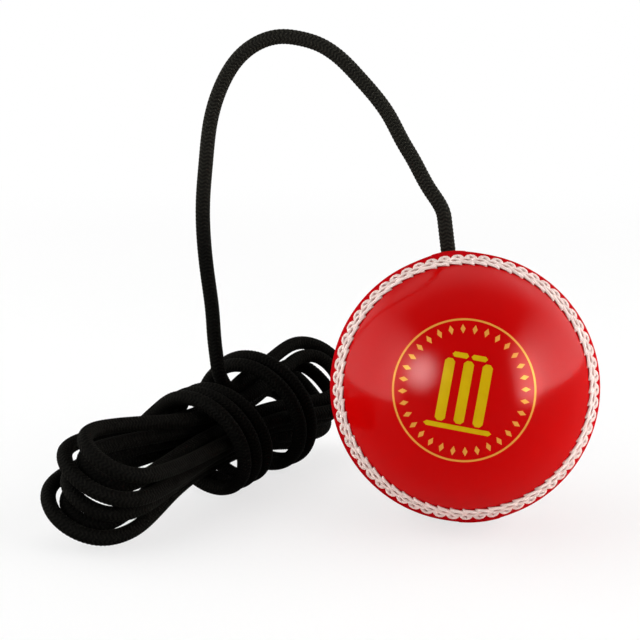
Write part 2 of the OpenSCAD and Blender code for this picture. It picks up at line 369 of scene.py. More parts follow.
# The loops spiral in and out again, and climb a layer where they reverse
def loopAt(t):
    h = hankSet
    layerTurns = h["loops"] / h["layers"]
    m = t % (2 * layerTurns)
    inward = m if m < layerTurns else 2 * layerTurns - m
    climbed = sum(ease((t - layerTurns * j) / h["climbTurns"] + 0.5) for j in range(1, h["layers"]))
    a = 2 * math.pi * t
    reach, half, step, power, fan = h["near" if math.sin(a) < 0 else "far"]
    swell = abs(math.sin(a)) ** power
    waist = h["waistHalf"] - h["waistStep"] * inward
    along = (reach - h["foldStep"] * inward * math.sin(a) ** 2) * math.sin(a)
    across = math.cos(a) * (waist + (half - step * inward - waist) * swell)
    through = (h["waistStep"] + (fan - h["waistStep"]) * swell) * ((h["layers"] - 1) / 2 - climbed)
    turn = math.radians(h["nearTurn"]) * ease((-along - h["turnFrom"]) / h["turnRun"])
    return hankPlace((
        along,
        across * math.cos(turn) - through * math.sin(turn),
        across * math.sin(turn) + through * math.cos(turn),
    ))


def wrapAt(t):
    h = hankSet
    d = math.radians(h["wrapFirst"] + 360 * t)
    back = h["wrapSlant"] * math.cos(d - math.radians(h["wrapHigh"]))
    hop, grown = ease((t - h["hopAt"]) / h["hopTurns"]), ease(t - h["hopAt"])
    radius = h["wrapRadius"][0] * (1 - grown) + h["wrapRadius"][1] * grown
    offset = h["wrapOffset"][0] * (1 - hop) + h["wrapOffset"][1] * hop
    return hankPlace((
        h["wrapFrom"] + h["wrapPitch"] * t + h["wrapHop"] * hop - back,
        offset + radius * math.cos(d),
        radius * math.sin(d),
    ))


# Curve that leaves point a along da and reaches point b along db, without its ends
def joining(a, da, b, db):
    g = hankSet["joinReach"] * np.linalg.norm(b - a)
    p, q = a + g * da, b - g * db
    steps = [i / hankSet["joinRings"] for i in range(1, hankSet["joinRings"])]
    return [
        (1 - k) ** 3 * a + 3 * (1 - k) ** 2 * k * p + 3 * (1 - k) * k * k * q + k ** 3 * b
        for k in steps]


def cordRoutes():
    h, tiny = hankSet, 0.001
    first = math.asin(h["loopsFrom"] / h["far"][0]) / (2 * math.pi)
    last = h["loops"] + math.asin(h["loopsTo"] / h["near"][0]) / (2 * math.pi)
    loopCount = round((last - first) * h["rings"])
    wrapCount = round(h["wrapTurns"] * h["rings"])
    loops = [loopAt(first + (last - first) * i / loopCount) for i in range(loopCount + 1)]
    wraps = [wrapAt(h["wrapTurns"] * i / wrapCount) for i in range(wrapCount + 1)]
    tailDir = -hankSide
    tailLead = np.array([h["centre"][0], h["centre"][1], cordSet["diameter"] / 2])
    tailLead = tailLead + h["tailAlong"] * hankAlong + h["tailOut"] * tailDir
    loopsOut, wrapIn = unit(loops[-1] - loopAt(last - tiny)), unit(wrapAt(tiny) - wraps[0])
    wrapOut = unit(wraps[-1] - wrapAt(h["wrapTurns"] - tiny))
    hank = loops + joining(loops[-1], loopsOut, wraps[0], wrapIn) + wraps
    hank += joining(wraps[-1], wrapOut, tailLead, tailDir)
    hank += [tailLead, tailLead + cordSet["diameter"] * tailDir]
    start = ballCentre + cordSet["archStart"] * boreDir
    into = unit(hank[1] - hank[0])
    arch = [start, start + cordSet["archLead"] * boreDir]
    arch += [np.array(p, float) for p in cordSet["archPoints"]] + [hank[0] - cordSet["diameter"] * into]
    tailStart = hank[-1]
    tail = [tailStart + tailDir * cordSet["tail"] * k for k in (0.5, 1.0)]
    return np.array(arch + hank + tail), tailStart, tailDir


# Cubic spline through the points by chord length, leaving along startDir, sampled densely
def smoothRoute(points, startDir, dense=24):
    chord = np.linalg.norm(np.diff(points, axis=0), axis=1)
    count = len(points)
    system, right = np.zeros((count, count)), np.zeros((count, 3))
    system[-1, -1] = 1
    system[0, 0], system[0, 1] = 2 * chord[0], chord[0]
    right[0] = 6 * ((points[1] - points[0]) / chord[0] - startDir)
    for i in range(1, count - 1):
        system[i, i - 1:i + 2] = chord[i - 1], 2 * (chord[i - 1] + chord[i]), chord[i]
        right[i] = 6 * ((points[i + 1] - points[i]) / chord[i] - (points[i] - points[i - 1]) / chord[i - 1])
    bend = np.linalg.solve(system, right)
    out = []
    for i in range(count - 1):
        c = chord[i]
        for j in range(dense):
            x = c * j / dense
            y = c - x
            out.append(
                bend[i] * y ** 3 / (6 * c) + bend[i + 1] * x ** 3 / (6 * c)
                + (points[i] / c - bend[i] * c / 6) * y + (points[i + 1] / c - bend[i + 1] * c / 6) * x
            )
    return np.array(out + [points[-1]])


def runAlong(points):
    return np.concatenate([[0], np.cumsum(np.linalg.norm(np.diff(points, axis=0), axis=1))])


def evenSteps(points, step):
    run = runAlong(points)
    count = 2 * max(1, round(run[-1] / step / 2))  # an even number keeps the ridges in step
    at = np.linspace(0, run[-1], count + 1)
    return np.stack([np.interp(at, run, points[:, i]) for i in range(3)], 1), at


def tangentsOf(route):
    tangents = np.gradient(route, axis=0)
    return tangents / np.linalg.norm(tangents, axis=1)[:, None]


# Directions across the cord, carried along it without twist
def carriedSides(tangents, first):
    sides, side = [], np.asarray(first, float)
    for t in tangents:
        side = unit(side - (side @ t) * t)
        sides.append(side)
    return np.array(sides)


# Tube with the braid's ridges in its shape, u round it and v along it in metres
def braidTube(name, centres, tangents, sides, along, radius, count, floor=None):
    rings = len(centres)
    k = np.arange(count)
    turn = 2 * np.pi * k / count
    # slanted ridges, mirrored in each column
    lean = cordSet["slant"] * np.abs((k / cordSet["columnSpokes"]) % 1 * 2 - 1)
    wave = np.cos(2 * np.pi * (np.arange(rings)[:, None] / 2 + lean[None, :]))
    reach = radius + cordSet["ridge"] * wave
    across = np.cross(tangents, sides)
    points = centres[:, None, :] + reach[:, :, None] * (
        np.cos(turn)[None, :, None] * sides[:, None, :] + np.sin(turn)[None, :, None] * across[:, None, :])
    points = points.reshape(-1, 3)
    if floor is not None:
        points[:, 2] = np.maximum(points[:, 2], floor)
    ring, spoke = np.meshgrid(np.arange(rings - 1), k, indexing="ij")
    after = (spoke + 1) % count
    a, b = ring * count + spoke, ring * count + after
    faces = np.stack([a, b, b + count, a + count], -1).reshape(-1, 4).tolist()
    faces.append(list(range(count))[::-1])
    faces.append(list(range((rings - 1) * count, rings * count)))
    mesh = bpy.data.meshes.new(name)
    mesh.from_pydata((points * mm).tolist(), [], faces)
    layer = mesh.uv_layers.new(name="alongCord")
    u0, u1 = spoke / count, (spoke + 1) / count
    v0, v1 = along[ring] * mm, along[ring + 1] * mm
    corners = np.stack([u0, v0, u1, v0, u1, v1, u0, v1], -1).reshape(-1, 2)
    ends = np.concatenate([
        np.stack([k[::-1] / count, np.full(count, along[0] * mm)], -1),
        np.stack([k / count, np.full(count, along[-1] * mm)], -1),
    ])
    layer.data.foreach_set("uv", np.concatenate([corners, ends]).ravel())
    mesh.shade_smooth()
    piece = bpy.data.objects.new(name, mesh)
    bpy.context.collection.objects.link(piece)
    return piece


routePoints, tailStart, tailDir = cordRoutes()
freeRoute, freeAlong = evenSteps(smoothRoute(routePoints, boreDir), cordSet["ringStep"])
stations = [cordSet[key] for key in ("lowEnd", "ballTop", "neckMiddle", "archStart")]
straight = []
for low, high in zip(stations, stations[1:]):
    ends = np.array([ballCentre + low * boreDir, ballCentre + high * boreDir])
    straight.append(evenSteps(ends, cordSet["ringStep"]))

freeTangents = tangentsOf(freeRoute)
freeTangents[0] = boreDir
firstSide = unit(np.cross(boreDir, [0, 1, 0]))
freeSides = carriedSides(freeTangents, firstSide)

cordPieces = {}
startAlong = 0
for name, (route, along) in zip(("cordInBall", "cordLowerBend", "cordUpperBend"), straight):
    count = len(route)
    cordPieces[name] = braidTube(
        name, route, np.tile(boreDir, (count, 1)), np.tile(firstSide, (count, 1)),
        along + startAlong, cordSet["diameter"] / 2, cordSet["sides"])
    startAlong += along[-1]
cordPieces["hankCord"] = braidTube(
    "hankCord", freeRoute, freeTangents, freeSides, freeAlong + startAlong,
    cordSet["diameter"] / 2, cordSet["sides"], floor=0)
print("cord laid,", round(freeAlong[-1]), "mm free,", len(freeRoute), "rings")


# Stopper knot: the cord's own end wound tight round it
knotSet = {
    "radius": 3.75, "strand": 1.62, "turns": 3.0, "flat": 0.5,  # turns laid flat at each end
    "top": -22.2, "pitch": 3.0, "points": 121, "sides": 16,
}


def makeKnot():
    k = knotSet
    turns = np.linspace(0, k["turns"], k["points"])
    angle = 2 * np.pi * turns
    drop = k["top"] - k["pitch"] * np.clip(turns - k["flat"], 0, k["turns"] - 2 * k["flat"])
    local = np.stack([k["radius"] * np.cos(angle), k["radius"] * np.sin(angle), drop], 1)
    turned = np.array(ballPose.to_3x3())
    route, along = evenSteps(ballCentre + local @ turned.T, cordSet["ringStep"])
    tangents = tangentsOf(route)
    return braidTube(
        "stopperKnot", route, tangents, carriedSides(tangents, boreDir), along, k["strand"], k["sides"])


cordPieces["stopperKnot"] = makeKnot()


def faceOutward():
    bpy.ops.mesh.select_all(action="SELECT")
    bpy.ops.mesh.normals_make_consistent(inside=False)


# Turned shapes: a profile drawn point by point, then spun about an axis

def turnedPiece(name, profile, steps, axis):
    deselect()
    bpy.ops.mesh.primitive_plane_add(size=mm)
    piece = named(name)
    enterMode("EDIT")
    bpy.ops.mesh.merge(type="CENTER")
    points = [Vector(p) * mm for p in profile]
    bpy.ops.transform.translate(value=points[0])
    for before, after in zip(points, points[1:]):
        bpy.ops.mesh.extrude_region_move(TRANSFORM_OT_translate={"value": after - before})
    bpy.ops.mesh.select_all(action="SELECT")
    bpy.ops.mesh.spin(steps=steps, angle=2 * math.pi, center=(0, 0, 0), axis=axis)
    bpy.ops.mesh.select_all(action="SELECT")
    bpy.ops.mesh.remove_doubles(threshold=0.002 * mm)
    faceOutward()
    enterMode("OBJECT")
    return piece


def smoothByAngle(piece, degrees):
    pick(piece)
    bpy.ops.object.shade_smooth_by_angle(angle=math.radians(degrees))


# Stitches: each strand in pitches round the seam, degrees from the pole, mm above the cover

seamSet = {
    "count": 61,
    "phase": 0.3,
    "sides": 8,
    "endWidth": 0.82,  # share of a strand's width at its two ends
    "smooth": 70,
    "strands": {
        "inner": {
            "width": 0.70, "height": 0.40,
            "path": [
                (-0.07, 62.0, -0.45), (-0.02, 62.1, 0.02), (0.22, 62.2, 0.20), (0.54, 62.7, 0.20),
                (0.84, 63.5, 0.18), (1.10, 64.5, 0.04), (1.34, 65.4, -0.42),
            ],
        },
        "middle": {
            "width": 0.60, "height": 0.38,
            "path": [
                (-0.24, 64.8, -0.42), (-0.04, 65.6, 0.04), (0.22, 66.3, 0.22), (0.50, 66.6, 0.24),
                (0.80, 66.3, 0.22), (1.04, 65.8, 0.06), (1.24, 65.3, -0.42),
            ],
        },
        "outer": {
            "width": 0.66, "height": 0.42,
            "path": [
                (-0.22, 68.7, -0.50), (-0.16, 69.4, -0.02), (-0.02, 70.5, 0.17), (0.15, 70.9, 0.20),
                (0.32, 70.5, 0.17), (0.46, 69.4, -0.02), (0.52, 68.7, -0.50),
            ],
        },
    },
    "holes": [(-0.09, 61.9), (0.65, 68.9), (0.27, 65.3)],
    "holeDepth": 0.32,
    "holeSpread": 0.3875,
    "channel": (60.2, 72.6),
    "channelEdge": 1.5,
    "channelDepth": 0.14,
}


# Point of the ball at an angle from the pole, a number of pitches round it and a height
def onBall(pitches, angle, height):
    turn = 2 * math.pi * (pitches + seamSet["phase"]) / seamSet["count"]
    reach, angle = ballSet["radius"] + height, math.radians(angle)
    return np.array([
        -reach * math.sin(angle) * math.sin(turn),
        -reach * math.cos(angle),
        reach * math.sin(angle) * math.cos(turn),
    ])


def makeStitchRow(name, strand, rear):
    sides, path = seamSet["sides"], strand["path"]
    deselect()
    bpy.ops.mesh.primitive_circle_add(vertices=sides, radius=1, fill_type="NGON")
    piece = named(name)
    enterMode("EDIT")
    for i in range(len(path) - 1):  # one ring for each point of the path
        bpy.ops.mesh.extrude_region_move(TRANSFORM_OT_translate={"value": (0, 0, 1)})
    enterMode("OBJECT")
    mesh = piece.data
    middle = np.array([onBall(*p) for p in path])
    tangents = np.gradient(middle, axis=0)
    run = runAlong(middle)
    points = readPoints(mesh)
    ringOf = np.rint(points[:, 2]).astype(int)
    turnOf = np.arctan2(points[:, 1], points[:, 0])
    placed = []
    for ring, turn in zip(ringOf, turnOf):
        outward = unit(middle[ring])
        ahead = unit(tangents[ring])
        aside = unit(np.cross(ahead, outward))
        above = np.cross(aside, ahead)
        thin = seamSet["endWidth"] if ring in (0, len(path) - 1) else 1.0
        placed.append(middle[ring] + thin * (
            strand["width"] * math.cos(turn) * aside + strand["height"] * math.sin(turn) * above))
    layer = mesh.uv_layers.new(name="alongThread")
    for polygon in mesh.polygons:
        turns = [turnOf[v] / (2 * math.pi) % 1 for v in polygon.vertices]
        wraps = max(turns) - min(turns) > 0.5
        for corner, vertex, u in zip(polygon.loop_indices, polygon.vertices, turns):
            u = u + 1 if wraps and u < 0.5 else u
            layer.data[corner].uv = (u, run[ringOf[vertex]] * mm)
    writePoints(mesh, np.array(placed) * mm)
    enterMode("EDIT")
    faceOutward()
    copies = seamSet["count"] - 1
    bpy.ops.mesh.spin(
        steps=copies, dupli=True, angle=2 * math.pi * copies / seamSet["count"],
        center=(0, 0, 0), axis=(0, 1, 0))
    enterMode("OBJECT")
    if rear:
        mesh.transform(Matrix.Rotation(math.pi, 4, "Z"))
    mesh.transform(ballPose)
    smoothByAngle(piece, seamSet["smooth"])
    return piece


stitchRows = {}
for rear, end in ((False, "front"), (True, "rear")):
    for row, strand in seamSet["strands"].items():
        stitchRows[f"{end}_{row}_thread"] = makeStitchRow(f"{end}{row.title()}Stitches", strand, rear)
print("stitches sewn,", seamSet["count"] * len(stitchRows), "strands")


# Cover halves: a turned shell with the seam's channel and its stitch holes pulled in

coverSet = {
    "wall": 3.5, "halfGap": 0.1, "lip": 0.4, "skin": 0.5, "turnSteps": 488, "smooth": 50,
    # degrees from the pole: start, end and step of each run of rings
    "outerRings": [(0, 58, 2.0), (58, 76.2, 0.45), (77, 89.1, 1.2)], "innerRings": (84, -1, -6),
    "lipAngles": (20, 45, 70, 90),
    "sleeveHole": 3.62, "plugHole": 5.8, "holeSides": 96, "cutterDepth": 12.0,
    "topSwell": (0.56, 11.0), "footSwell": (0.22, 11.0),  # height and reach round the bore's two ends
}


# Height of the cover's low swelling at a distance from the bore
def swelling(reach, end):
    height, spread = coverSet[end]
    return height * (1 - ease(reach / spread))


def coverProfile():
    c, radius = coverSet, ballSet["radius"]
    lip, gap, inner = c["lip"], c["halfGap"], radius - c["wall"]

    def onArc(reach, angle):
        angle = math.radians(angle)
        return reach * math.sin(angle), -reach * math.cos(angle), 0

    outline = [onArc(radius, a) for rings in c["outerRings"] for a in np.arange(*rings)]
    for a in c["lipAngles"]:  # rounded lip at the parting line
        a = math.radians(a)
        outline.append((radius - lip + lip * math.cos(a), -gap - lip + lip * math.sin(a), 0))
    return outline + [(inner, -gap, 0)] + [onArc(inner, a) for a in range(*c["innerRings"])]


def pullIn(points):
    s = seamSet
    reach = np.linalg.norm(points, axis=1)
    angle = np.degrees(np.arccos(np.clip(-points[:, 1] / reach, -1, 1)))
    turn = np.arctan2(-points[:, 0], points[:, 2])
    pitches = turn / (2 * np.pi) * s["count"] - s["phase"]
    (low, high), edge = s["channel"], s["channelEdge"]
    depth = s["channelDepth"] * ease((angle - low) / edge) * ease((high - angle) / edge)
    perDegree = ballSet["radius"] * math.pi / 180
    for at, theta in s["holes"]:
        pitch = 2 * np.pi * ballSet["radius"] * math.sin(math.radians(theta)) / s["count"]
        across = (pitches - at + 0.5) % 1 - 0.5
        away = (across * pitch) ** 2 + ((angle - theta) * perDegree) ** 2
        depth = depth + s["holeDepth"] * np.exp(-away / (2 * s["holeSpread"] ** 2))
    fromBore = np.hypot(points[:, 0], points[:, 1]) / mm
    above = points[:, 2] > 0
    depth = depth - np.where(above, swelling(fromBore, "topSwell"), swelling(fromBore, "footSwell"))
    outer = reach > (ballSet["radius"] - coverSet["skin"]) * mm
    return points * np.where(outer, 1 - depth * mm / reach, 1)[:, None]


def makeCover(name, rear):
    c = coverSet
    cover = turnedPiece(name, coverProfile(), c["turnSteps"], (0, 1, 0))
    writePoints(cover.data, pullIn(readPoints(cover.data)))
    if rear:
        cover.data.transform(Matrix.Rotation(math.pi, 4, "Z"))
    cutters = []
    for radius, end in ((c["sleeveHole"], 1), (c["plugHole"], -1)):
        deselect()
        bpy.ops.mesh.primitive_cylinder_add(
            vertices=c["holeSides"], radius=radius * mm, depth=c["cutterDepth"] * mm,
            location=(0, 0, end * ballSet["radius"] * mm))
        cutters.append(named("holeCutter"))
    pick(*cutters)
    bpy.ops.object.join()
    applyModifier(cover, "BOOLEAN", operation="DIFFERENCE", solver="EXACT", object=cutters[0])
    bpy.data.objects.remove(cutters[0])
    cover.data.transform(ballPose)
    smoothByAngle(cover, c["smooth"])
    return cover


covers = {"front_cover": makeCover("frontCover", False), "rear_cover": makeCover("rearCover", True)}
print("covers turned,", sum(len(c.data.polygons) for c in covers.values()), "faces")


# Grommet and plug: small turned pieces

fittingSet = {
    "bore": 2.08, "sleeve": 3.6, "sleeveLow": 28.0, "steps": 96, "smooth": 40,
    "mouth": 0.5, "mouthRound": [(0, 0.5), (0.07, 0.22), (0.24, 0.05)],  # mm out from the bore and down
    "rim": 4.7, "rimProud": 0.14, "rimRound": 0.2, "rimSeat": -0.1, "rimRings": 7,
    "plug": 5.78, "plugProud": 0.12, "plugRound": 0.2, "plugTop": -32.3, "plugRings": 8,
    "roundAngles": (0.45, 0.9, 1.25, 1.57),
}


# Height above the ball's centre of a dome that follows the swollen cover
def domeHeight(reach, proud, end):
    return math.sqrt((ballSet["radius"] + float(swelling(reach, end)) + proud) ** 2 - reach * reach)


def rimRounding(flat, edge, size):
    angles = fittingSet["roundAngles"]
    return [(flat + size * math.sin(a), edge - size * (1 - math.cos(a))) for a in angles]


def makeGrommet():
    f, end = fittingSet, "topSwell"
    lip, flat = f["bore"] + f["mouth"], f["rim"] - f["rimRound"]
    mouth = domeHeight(lip, f["rimProud"], end)
    outline = [(f["bore"], f["sleeveLow"])]
    outline += [(f["bore"] + out, mouth - down) for out, down in f["mouthRound"]]
    outline += [(r, domeHeight(r, f["rimProud"], end)) for r in np.linspace(lip, flat, f["rimRings"])]
    outline += rimRounding(flat, domeHeight(flat, f["rimProud"], end), f["rimRound"])
    outline += [(r, domeHeight(r, f["rimSeat"], end)) for r in (f["rim"], f["sleeve"])]
    outline += [(f["sleeve"], f["sleeveLow"]), (f["bore"], f["sleeveLow"])]
    return turnedPiece("cordGrommet", [(r, 0, z) for r, z in outline], f["steps"], (0, 0, 1))


def makePlug():
    f, end = fittingSet, "footSwell"
    flat = f["plug"] - f["plugRound"]
    outline = [(r, domeHeight(r, f["plugProud"], end)) for r in np.linspace(0, flat, f["plugRings"])]
    outline += rimRounding(flat, domeHeight(flat, f["plugProud"], end), f["plugRound"])
    outline += [(f["plug"], -f["plugTop"]), (0, -f["plugTop"])]
    return turnedPiece("knotPlug", [(r, 0, -z) for r, z in outline], f["steps"], (0, 0, 1))


# Melted end: the fibres run together into a bead, drawn along +Z

meltSet = {
    "foot": [(-0.03, 0), (0.02, 0.18), (-0.06, 0.42)],  # mm from the cord's radius, share of the length
    "shoulder": (0.35, 0.8, 1.2, 1.5), "round": 0.86, "flat": 0.55, "dimple": 0.97,
    "steps": 40, "smooth": 60,
    "tail": (2.0, 2.0, 1.3), "lower": (0.9, 2.0, 1.5),  # length, radius, radius of the tip
}


def makeMelt(name, length, radius, tip):
    m = meltSet
    profile = [(0, 0, 0)] + [(radius + out, 0, part * length) for out, part in m["foot"]]
    profile += [
        (tip + (radius - tip) * math.cos(a) * m["round"], 0, length * (0.5 + 0.5 * math.sin(a)))
        for a in m["shoulder"]]
    profile += [(tip * m["flat"], 0, length), (0, 0, length * m["dimple"])]
    return turnedPiece(name, profile, m["steps"], (0, 0, 1))


grommet, plug = makeGrommet(), makePlug()
for piece in (grommet, plug):
    piece.data.transform(ballPose)
    smoothByAngle(piece, fittingSet["smooth"])
tailTip = makeMelt("cordTailTip", *meltSet["tail"])
aim = Vector(tailDir).to_track_quat("Z", "Y").to_matrix().to_4x4()
tailTip.data.transform(Matrix.Translation(Vector(tailStart + tailDir * cordSet["tail"]) * mm) @ aim)
lowerTip = makeMelt("cordLowerTip", *meltSet["lower"])
lowerTip.data.transform(
    ballPose @ Matrix.Translation((0, 0, cordSet["lowEnd"] * mm)) @ Matrix.Rotation(math.pi, 4, "X"))
for piece in (tailTip, lowerTip):
    points = readPoints(piece.data)
    points[:, 2] = np.maximum(points[:, 2], 0)
    writePoints(piece.data, points)
    smoothByAngle(piece, meltSet["smooth"])
print("fittings turned")


# Gold stamp: foil shapes drawn flat, then pressed onto the ball round its pole

stampSet = {
    "centre": (-0.85, -0.8), "turn": -17.0, "lift": 0.035, "foil": 0.05, "smooth": 50,
    "ring": 17.6, "ringLine": 0.48, "ringSides": 180,
    "rhombs": 32, "rhombRing": 15.2, "rhombLength": 2.3, "rhombWidth": 1.2, "rhombTip": 0.04,
    "stumpLength": 15.6, "stumpWidth": 2.5, "stumpStep": 4.7, "stumpFoot": -8.4, "stumpCorner": 0.7,
    "bailLength": 4.1, "bailWidth": 1.3, "bailGap": 0.5,
    "creaseLength": 17.0, "creaseWidth": 1.2,
}


# Strip of foil along +Y, its width given at each part of its length
def foilStrip(name, length, columns, rows, widthAt):
    deselect()
    bpy.ops.mesh.primitive_grid_add(x_subdivisions=columns, y_subdivisions=rows, size=1)
    piece = named(name)
    points = readPoints(piece.data)
    part = points[:, 1] + 0.5
    points[:, 0] *= np.array([widthAt(t) for t in part])
    points[:, 1] = part * length
    writePoints(piece.data, points * mm)
    return piece


def roundEnds(width, length, corner):
    def widthAt(t):
        off = min(t, 1 - t) * length
        if off >= corner:
            return width
        return width - 2 * corner + 2 * math.sqrt(max(0, corner ** 2 - (corner - off) ** 2))
    return widthAt


def copyAt(piece, x, y, turn):
    copy = piece.copy()
    copy.data = piece.data.copy()
    bpy.context.collection.objects.link(copy)
    turned = Matrix.Rotation(math.radians(turn), 4, "Z")
    copy.data.transform(Matrix.Translation((x * mm, y * mm, 0)) @ turned)
    return copy


# Joins the flat shapes, lays them on the ball and gives the foil its thickness
def pressOn(name, parts):
    s = stampSet
    pick(*parts)
    bpy.ops.object.join()
    piece = named(name)
    piece.data.transform(Matrix.Rotation(math.radians(s["turn"]), 4, "Z"))
    points = readPoints(piece.data)
    x, z = points[:, 0] + s["centre"][0] * mm, points[:, 1] + s["centre"][1] * mm
    reach = (ballSet["radius"] + s["lift"]) * mm
    writePoints(piece.data, np.stack([x, -np.sqrt(reach ** 2 - x ** 2 - z ** 2), z], 1))
    applyModifier(piece, "SOLIDIFY", thickness=s["foil"] * mm, offset=-1)
    piece.data.transform(ballPose)
    smoothByAngle(piece, s["smooth"])
    return piece


def makeBorder():
    s = stampSet
    deselect()
    inner = s["ring"] - s["ringLine"] / 2
    bpy.ops.mesh.primitive_circle_add(vertices=s["ringSides"], radius=inner * mm, fill_type="NOTHING")
    ring = named("stampRing")
    enterMode("EDIT")
    for grow in (s["ring"] / inner, (s["ring"] + s["ringLine"] / 2) / s["ring"]):
        bpy.ops.mesh.extrude_region_move()
        bpy.ops.transform.resize(value=(grow, grow, 1), center_override=(0, 0, 0))
    faceOutward()
    enterMode("OBJECT")
    if ring.data.polygons[0].normal.z < 0:
        ring.data.flip_normals()
    rhomb = foilStrip(
        "stampRhomb", s["rhombLength"], 2, 6,
        lambda t: s["rhombWidth"] * (1 + s["rhombTip"] - abs(2 * t - 1)))
    parts, low = [ring], s["rhombRing"] - s["rhombLength"] / 2
    for i in range(s["rhombs"]):
        at = 2 * math.pi * i / s["rhombs"]
        parts.append(copyAt(rhomb, low * math.cos(at), low * math.sin(at), math.degrees(at) - 90))
    bpy.data.objects.remove(rhomb)
    return pressOn("stampBorder", parts)


def makeWicket():
    s = stampSet
    spares = {}
    for kind, columns, rows in (("stump", 4, 22), ("bail", 2, 8), ("crease", 2, 22)):
        length, width = s[kind + "Length"], s[kind + "Width"]
        corner = s.get(kind + "Corner", width / 2)
        spares[kind] = foilStrip(kind, length, columns, rows, roundEnds(width, length, corner))
    foot = s["stumpFoot"]
    top = foot + s["stumpLength"] + s["bailGap"] + s["bailWidth"] / 2
    below = foot - s["bailGap"] - s["creaseWidth"] / 2
    parts = [copyAt(spares["stump"], i * s["stumpStep"], foot, 0) for i in (-1, 0, 1)]
    for i in (-1, 1):
        parts.append(copyAt(spares["bail"], i * s["stumpStep"] / 2 - s["bailLength"] / 2, top, -90))
    parts.append(copyAt(spares["crease"], -s["creaseLength"] / 2, below, -90))
    for spare in spares.values():
        bpy.data.objects.remove(spare)
    return pressOn("stampWicket", parts)


stampBorder, stampWicket = makeBorder(), makeWicket()
print("stamp pressed,", len(stampBorder.data.polygons) + len(stampWicket.data.polygons), "faces")


braidSet = {
    # painted shade in the braid's hollows and painted highlight on its crowns
    "paintedHollowShade": "#12110F", "paintedCrownHighlight": "#282722",
    # painted shade on the hank: the braid's colour is darkened from this stretch of the cord on
    "paintedHankShade": (0.18, 0.22), "paintedHankShadeTone": (0.18, 0.18, 0.18, 1),  # metres along the cord, share of its colour
}


# Polyester braid, dyed black: dull, with painted highlight on the crowns of its slanted strands, painted shade in the
# hollows between them, and painted shade darkening it along the hank
def polyesterBraid():
    ridgeLength = 2 * cordSet["ringStep"]  # mm from strand to strand along the cord
    columns = cordSet["sides"] / cordSet["columnSpokes"]
    paintedShadeFrom, paintedShadeBy = braidSet["paintedHankShade"]
    material, tree, shader = startMaterial("blackPolyesterBraid", Roughness=0.7, Specular_IOR_Level=0.004)
    coords = addNode(tree, "TexCoord").outputs
    uv = addNode(tree, "SeparateXYZ", links={0: coords["UV"]})
    column = addNode(tree, "Math", {"operation": "MULTIPLY", 1: columns}, {0: uv.outputs["X"]})
    part = addNode(tree, "Math", {"operation": "FRACT"}, {0: column})
    fold = addNode(tree, "Math", {"operation": "MULTIPLY_ADD", 1: 2.0, 2: -1.0}, {0: part})
    slant = addNode(tree, "Math", {"operation": "ABSOLUTE"}, {0: fold})
    lean = addNode(tree, "Math", {"operation": "MULTIPLY", 1: cordSet["slant"]}, {0: slant})
    phase = addNode(
        tree, "Math", {"operation": "MULTIPLY_ADD", 1: 1 / (ridgeLength * mm)}, {0: uv.outputs["Y"], 2: lean})
    angle = addNode(tree, "Math", {"operation": "MULTIPLY", 1: 2 * math.pi}, {0: phase})
    wave = addNode(tree, "Math", {"operation": "COSINE"}, {0: angle})
    strand = addNode(tree, "Math", {"operation": "MULTIPLY_ADD", 1: 0.5, 2: 0.5}, {0: wave})
    fibre = addNode(tree, "TexNoise", {"Scale": 1 / (0.5 * mm), "Detail": 3.0}, {"Vector": coords["Object"]})
    height = addNode(tree, "Math", {"operation": "MULTIPLY_ADD", 1: 0.35}, {0: fibre, 2: strand})
    # painted shade and painted highlight: hollows darker and crowns paler, from the strands' height with random fibre
    # noise mixed in
    paintedCrownLight = addNode(tree, "MapRange", {"From Min": 0.15, "From Max": 1.25}, {"Value": height})
    colour = addNode(
        tree, "Mix", {"data_type": "RGBA", 6: braidSet["paintedHollowShade"], 7: braidSet["paintedCrownHighlight"]}, {0: paintedCrownLight})
    # painted shade: the colour is darkened along the cord from the arch into the hank
    paintedHankShade = addNode(
        tree, "MapRange", {"interpolation_type": "SMOOTHSTEP", "From Min": paintedShadeFrom, "From Max": paintedShadeBy},
        {"Value": uv.outputs["Y"]})
    deeper = addNode(
        tree, "Mix", {"data_type": "RGBA", "blend_type": "MULTIPLY", 7: braidSet["paintedHankShadeTone"]},
        {0: paintedHankShade, 6: colour.outputs[2]})
    bump = addNode(tree, "Bump", {"Strength": 0.9, "Distance": 0.16 * mm}, {"Height": height})
    linkInto(tree, shader, {"Base Color": deeper.outputs[2], "Normal": bump})
    return material


# Polyester melted to a bead: smooth, uneven, a little shiny
def meltedPolyester():
    material, tree, shader = startMaterial("meltedPolyester", Specular_IOR_Level=0.03)
    coords = addNode(tree, "TexCoord").outputs
    lumps = addNode(tree, "TexNoise", {"Scale": 1 / (1.1 * mm), "Detail": 2.0}, {"Vector": coords["Object"]})
    colour = addNode(tree, "Mix", {"data_type": "RGBA", 6: "#0B0A0A", 7: "#191715"}, {0: lumps})
    gloss = addNode(tree, "MapRange", {"To Min": 0.25, "To Max": 0.5}, {"Value": lumps})
    bump = addNode(tree, "Bump", {"Strength": 0.6, "Distance": 0.2 * mm}, {"Height": lumps})
    linkInto(tree, shader, {"Base Color": colour.outputs[2], "Roughness": gloss, "Normal": bump})
    return material


rimSet = {"from": 0.4, "gone": 0.75}  # turned away from the eye, 0 to 1


# Gloss that fades towards the outline, where the bright tent would bleach it
def softenRim(tree, shader, facing):
    turned = addNode(tree, "LayerWeight", {"Blend": 0.5})
    mirror = addNode(
        tree, "MapRange",
        {"interpolation_type": "SMOOTHSTEP", "From Min": rimSet["from"], "From Max": rimSet["gone"],
         "To Min": facing, "To Max": 0.0},
        {"Value": turned.outputs["Facing"]})
    linkInto(tree, shader, {"Specular IOR Level": mirror})


pvcSet = {"bright": "#C00404", "deep": "#B60303", "seam": "#B40811", "seamBlur": 0.02, "facing": 0.025}


